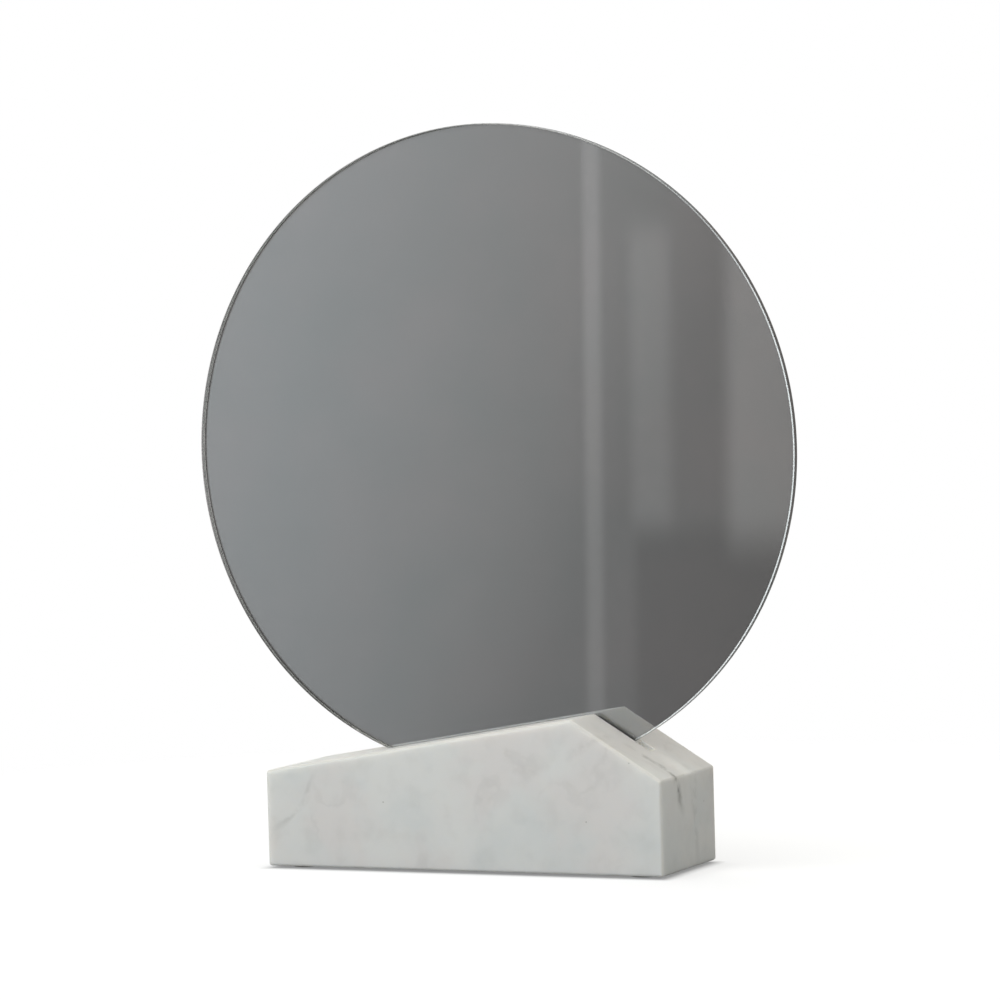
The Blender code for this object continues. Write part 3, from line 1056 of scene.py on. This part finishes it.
# The room's tint turns from cool to warm between these degrees.
ROOM_COOL, ROOM_WARM = "#FEFFFF", "#FFF8F4"
TINT_TURN = (-27.0, -21.0)
# Below the first height the room gives way to a pale floor's tone, fully at the second.
FLOOR_HEIGHTS = (-9.0, -22.0)
FLOOR_TONE = 0.6
# A direction is behind the object where its +Y part passes the first of these, fully at the second.
BEHIND = (0.1, 0.4)
# Direction that the soft light is strongest from.
SKY_SIDE = (-0.57, -0.76, -0.31)


def room_level(tree, azimuth, height):
    """Brightness of the room by direction.

    The greys run round the horizon on a slant, so that they also darken towards the ground. The
    uprights multiply them, and low down they give way to the tone of a pale floor.
    """
    ends = [ROOM_SLANT * (end - SLANT_LEVEL) for end in (SLANT_LOWEST, SLANT_HIGHEST)]
    slant = add(tree, "MapRange", (height, SLANT_LOWEST, SLANT_HIGHEST, *ends))
    slanted = add(tree, "Math", (azimuth, slant), operation="SUBTRACT")
    share = add(tree, "MapRange", (slanted, -180.0, 180.0))
    greys = add(tree, "ValToRGB", (share,))
    stops = greys.node.color_ramp.elements
    while len(stops) < len(ROOM):
        stops.new(0.5)
    for stop, (degrees, grey) in zip(stops, ROOM):
        stop.position = (degrees + 180) / 360
        stop.color = (*[grey / ROOM_PEAK] * 3, 1.0)
    level = add(tree, "Math", (greys, ROOM_PEAK), operation="MULTIPLY")

    lean = add(tree, "Math", (height, UPRIGHT_LEAN), operation="MULTIPLY")
    leaning = add(tree, "Math", (azimuth, lean), operation="SUBTRACT")
    for left, right, side_soft, lowest, highest, end_soft, gain in UPRIGHTS:
        edges = (
            (leaning, left, side_soft),
            (leaning, right, -side_soft),
            (height, lowest, end_soft),
            (height, highest, -end_soft),
        )
        change = gain
        for value, edge, soft in edges:
            step = (value, edge - soft / 2, edge + soft / 2)
            inside = add(tree, "MapRange", step, interpolation_type="SMOOTHSTEP")
            change = add(tree, "Math", (inside, change), operation="MULTIPLY")
        brighter = add(tree, "Math", (change, 1.0), operation="ADD")
        level = add(tree, "Math", (level, brighter), operation="MULTIPLY")
    ground = add(tree, "MapRange", (height, *FLOOR_HEIGHTS), interpolation_type="SMOOTHSTEP")
    return add(tree, "Mix", {0: ground, 2: level, 3: FLOOR_TONE})


def light_world(stage):
    """World: white to the camera, a soft sky to matt surfaces, and the room to gloss and glass.

    Behind the object the room is the white background again for what is seen through the glass.
    """
    world = bpy.data.worlds.new("studio")
    world.use_nodes = True
    tree = world.node_tree
    tree.nodes.clear()
    direction = add(tree, "TexCoord", out="Generated")
    x, y, z = (add(tree, "SeparateXYZ", (direction,), axis) for axis in "XYZ")
    ahead = add(tree, "Math", (y, -1.0), operation="MULTIPLY")
    turn = add(tree, "Math", (x, ahead), operation="ARCTAN2")
    azimuth = add(tree, "Math", (turn,), operation="DEGREES")
    height = add(tree, "Math", (add(tree, "Math", (z,), operation="ARCSINE"),), operation="DEGREES")
    camera, glossy, through = (
        add(tree, "LightPath", out=f"Is {kind} Ray") for kind in ("Camera", "Glossy", "Transmission")
    )

    behind = add(tree, "MapRange", (y, *BEHIND), interpolation_type="SMOOTHSTEP")
    white = add(tree, "Math", (behind, through), operation="MULTIPLY")
    room = add(tree, "Mix", {0: white, 2: room_level(tree, azimuth, height), 3: 1.0})
    towards = add(tree, "VectorMath", (direction, SKY_SIDE), "Value", operation="DOT_PRODUCT")
    leaning = (towards, stage.sky * stage.sky_lean, stage.sky)
    sky = add(tree, "Math", leaning, operation="MULTIPLY_ADD")
    mirrored = add(tree, "Math", (glossy, through), operation="MAXIMUM")
    level = add(tree, "Mix", {0: mirrored, 2: sky, 3: room})
    level = add(tree, "Mix", {0: camera, 2: level, 3: 1.0})

    warmer = add(tree, "MapRange", (azimuth, *TINT_TURN))
    tint = {0: warmer, 6: linear(ROOM_COOL), 7: linear(ROOM_WARM)}
    tint = add(tree, "Mix", tint, 2, data_type="RGBA")
    cooler = add(tree, "MapRange", (towards, -1.0, 1.0))
    sky_tint = {0: cooler, 6: stage.sky_warm, 7: stage.sky_cool}
    sky_tint = add(tree, "Mix", sky_tint, 2, data_type="RGBA")
    tint = add(tree, "Mix", {0: mirrored, 6: sky_tint, 7: tint}, 2, data_type="RGBA")
    tint = add(tree, "Mix", {0: camera, 6: tint, 7: (1.0, 1.0, 1.0)}, 2, data_type="RGBA")
    shader = add(tree, "Background", {"Color": tint, "Strength": level})
    add(tree, "OutputWorld", {"Surface": shader})
    bpy.context.scene.world = world


def direction_to(azimuth, elevation):
    """Unit vector from the target towards a place, azimuth to the right of straight ahead."""
    flat = math.cos(elevation)
    return Vector((math.sin(azimuth) * flat, -math.cos(azimuth) * flat, math.sin(elevation)))


def add_floor(stage):
    """The floor: a round sheet that ends before the pane can show it to the camera."""
    rings = np.linspace(0, stage.floor_radius, FLOOR_RINGS)[:, None]
    turn = np.linspace(0, 2 * np.pi, FLOOR_STEPS, endpoint=False)[None]
    x, y = rings * np.cos(turn), rings * np.sin(turn)
    points = np.stack([x, y, np.zeros_like(x)], axis=-1)
    mesh = mesh_of("floor", [(points, True, 0)])
    mesh.materials.append(matt_floor(stage))
    floor = bpy.data.objects.new("floor", mesh)
    bpy.context.scene.collection.objects.link(floor)


def add_lamp(stage):
    """A large square soft panel overhead."""
    lamp = bpy.data.lights.new("top", "AREA")
    lamp.shape = "SQUARE"
    lamp.size = stage.top_size
    lamp.energy = stage.top_power
    lamp.color = stage.top_colour
    panel = bpy.data.objects.new("top", lamp)
    panel.location = Vector(stage.target) + Vector((0, 0, stage.top_height))
    bpy.context.scene.collection.objects.link(panel)


def add_camera(stage):
    """The camera, at the photograph's viewing angle."""
    lens = bpy.data.cameras.new("camera")
    lens.lens = stage.lens
    camera = bpy.data.objects.new("camera", lens)
    back = direction_to(stage.azimuth, stage.elevation)
    camera.location = Vector(stage.target) + stage.distance * back
    facing = back.to_track_quat("Z", "Y") @ Quaternion((0, 0, 1), stage.roll)
    camera.rotation_euler = facing.to_euler()
    bpy.context.scene.collection.objects.link(camera)
    bpy.context.scene.camera = camera


# Operators


class TABLEMIRROR_OT_stage(bpy.types.Operator):
    """Sets up the floor, the light and the camera"""

    bl_idname = "tablemirror.stage"
    bl_label = "Stage"

    def execute(self, context):
        stage = context.scene.table_mirror.stage
        context.scene.view_settings.view_transform = "Standard"
        light_world(stage)
        add_floor(stage)
        add_lamp(stage)
        add_camera(stage)
        return {"FINISHED"}


class TABLEMIRROR_OT_marble_block(bpy.types.Operator):
    """Builds the honed marble block with its saw-cut slot"""

    bl_idname = "tablemirror.marble_block"
    bl_label = "Marble block"

    def execute(self, context):
        settings = context.scene.table_mirror
        finishes = [honed_marble(settings.stone), sawn_marble(settings.stone)]
        mesh = stone_mesh(settings.stone, settings.soft)
        add_piece("marble_block", mesh, finishes, "base", "honed_marble", "marble_base")
        return {"FINISHED"}


class TABLEMIRROR_OT_glass_disc(bpy.types.Operator):
    """Builds the glass disc with its ground rim"""

    bl_idname = "tablemirror.glass_disc"
    bl_label = "Glass disc"

    def execute(self, context):
        pane = context.scene.table_mirror.pane
        rim = ground_glass("polished_glass_rim", *RIM_ROUGHNESS)
        arrises = ground_glass("frosted_glass_arris", *ARRIS_ROUGHNESS)
        finishes = [float_glass(), rim, arrises]
        add_piece("glass_disc", glass_mesh(pane), finishes, "pane", "float_glass", "mirror_glass")
        return {"FINISHED"}


class TABLEMIRROR_OT_silver(bpy.types.Operator):
    """Lays the silver on the back of the glass and seals its edge"""

    bl_idname = "tablemirror.silver"
    bl_label = "Silver layer"

    def execute(self, context):
        pane = context.scene.table_mirror.pane
        mesh = silver_mesh(pane)
        finishes = [chemical_silver(pane), edge_lacquer()]
        add_piece("silver_layer", mesh, finishes, "pane", "silver", "silver_coating")
        return {"FINISHED"}


class TABLEMIRROR_OT_back_film(bpy.types.Operator):
    """Covers the silver with its protective film"""

    bl_idname = "tablemirror.back_film"
    bl_label = "Back film"

    def execute(self, context):
        pane = context.scene.table_mirror.pane
        add_piece("back_film", film_mesh(pane), [scrim_film(pane)], "pane", "backing", "backing_film")
        return {"FINISHED"}


class TABLEMIRROR_OT_liner(bpy.types.Operator):
    """Builds the vinyl liner round the pane's lower rim"""

    bl_idname = "tablemirror.liner"
    bl_label = "Liner"

    def execute(self, context):
        settings = context.scene.table_mirror
        mesh = liner_mesh(settings.stone, settings.soft)
        add_piece("vinyl_liner", mesh, [soft_vinyl(settings.soft)], "liner", "liner_vinyl", "rim_liner")
        return {"FINISHED"}


class TABLEMIRROR_OT_setting_blocks(bpy.types.Operator):
    """Builds the two rubber setting blocks on the slot floor"""

    bl_idname = "tablemirror.setting_blocks"
    bl_label = "Setting blocks"

    def execute(self, context):
        settings = context.scene.table_mirror
        rubber = setting_rubber(settings.soft)
        for side in ("left", "right"):
            name, node = f"rubber_block_{side}", f"{side}_setting_block"
            mesh = setting_block_mesh(name, node, settings.stone, settings.soft)
            add_piece(name, mesh, [rubber], "base", "setting_rubber", node)
        return {"FINISHED"}


class TABLEMIRROR_OT_felt_pads(bpy.types.Operator):
    """Builds the four felt pads under the stone"""

    bl_idname = "tablemirror.felt_pads"
    bl_label = "Felt pads"

    def execute(self, context):
        soft = context.scene.table_mirror.soft
        felt = wool_felt(soft)
        places = [f"{end}_{side}" for end in ("front", "rear") for side in ("left", "right")]
        for seed, place in enumerate(places):
            name, node = f"felt_pad_{place}", f"{place}_foot"
            add_piece(name, felt_pad_mesh(name, node, seed), [felt], "base", "felt", node)
        return {"FINISHED"}


OPERATORS = (
    TABLEMIRROR_OT_stage,
    TABLEMIRROR_OT_marble_block,
    TABLEMIRROR_OT_glass_disc,
    TABLEMIRROR_OT_silver,
    TABLEMIRROR_OT_back_film,
    TABLEMIRROR_OT_liner,
    TABLEMIRROR_OT_setting_blocks,
    TABLEMIRROR_OT_felt_pads,
)


class TABLEMIRROR_PT_pieces(bpy.types.Panel):
    """Lists the pieces and their settings"""

    bl_idname = "TABLEMIRROR_PT_pieces"
    bl_label = "Countertop mirror"
    bl_space_type = "VIEW_3D"
    bl_region_type = "UI"
    bl_category = "Mirror"

    def draw(self, context):
        for made in OPERATORS:
            self.layout.operator(made.bl_idname)
        settings = context.scene.table_mirror
        for group in (settings.stone, settings.pane, settings.soft, settings.stage):
            column = self.layout.box().column()
            for name in type(group).__annotations__:
                column.prop(group, name)


SETTINGS = (StoneSettings, PaneSettings, SoftSettings, StageSettings, MirrorSettings)
CLASSES = (*SETTINGS, *OPERATORS, TABLEMIRROR_PT_pieces)


def register():
    for made in CLASSES:
        bpy.utils.register_class(made)
    bpy.types.Scene.table_mirror = PointerProperty(type=MirrorSettings)


def unregister():
    del bpy.types.Scene.table_mirror
    for made in reversed(CLASSES):
        bpy.utils.unregister_class(made)


def main():
    """Builds the stage and every piece."""
    register()
    bpy.ops.tablemirror.stage()
    bpy.ops.tablemirror.marble_block()
    bpy.ops.tablemirror.glass_disc()
    bpy.ops.tablemirror.silver()
    bpy.ops.tablemirror.back_film()
    bpy.ops.tablemirror.liner()
    bpy.ops.tablemirror.setting_blocks()
    bpy.ops.tablemirror.felt_pads()


if __name__ == "__main__":
    main()
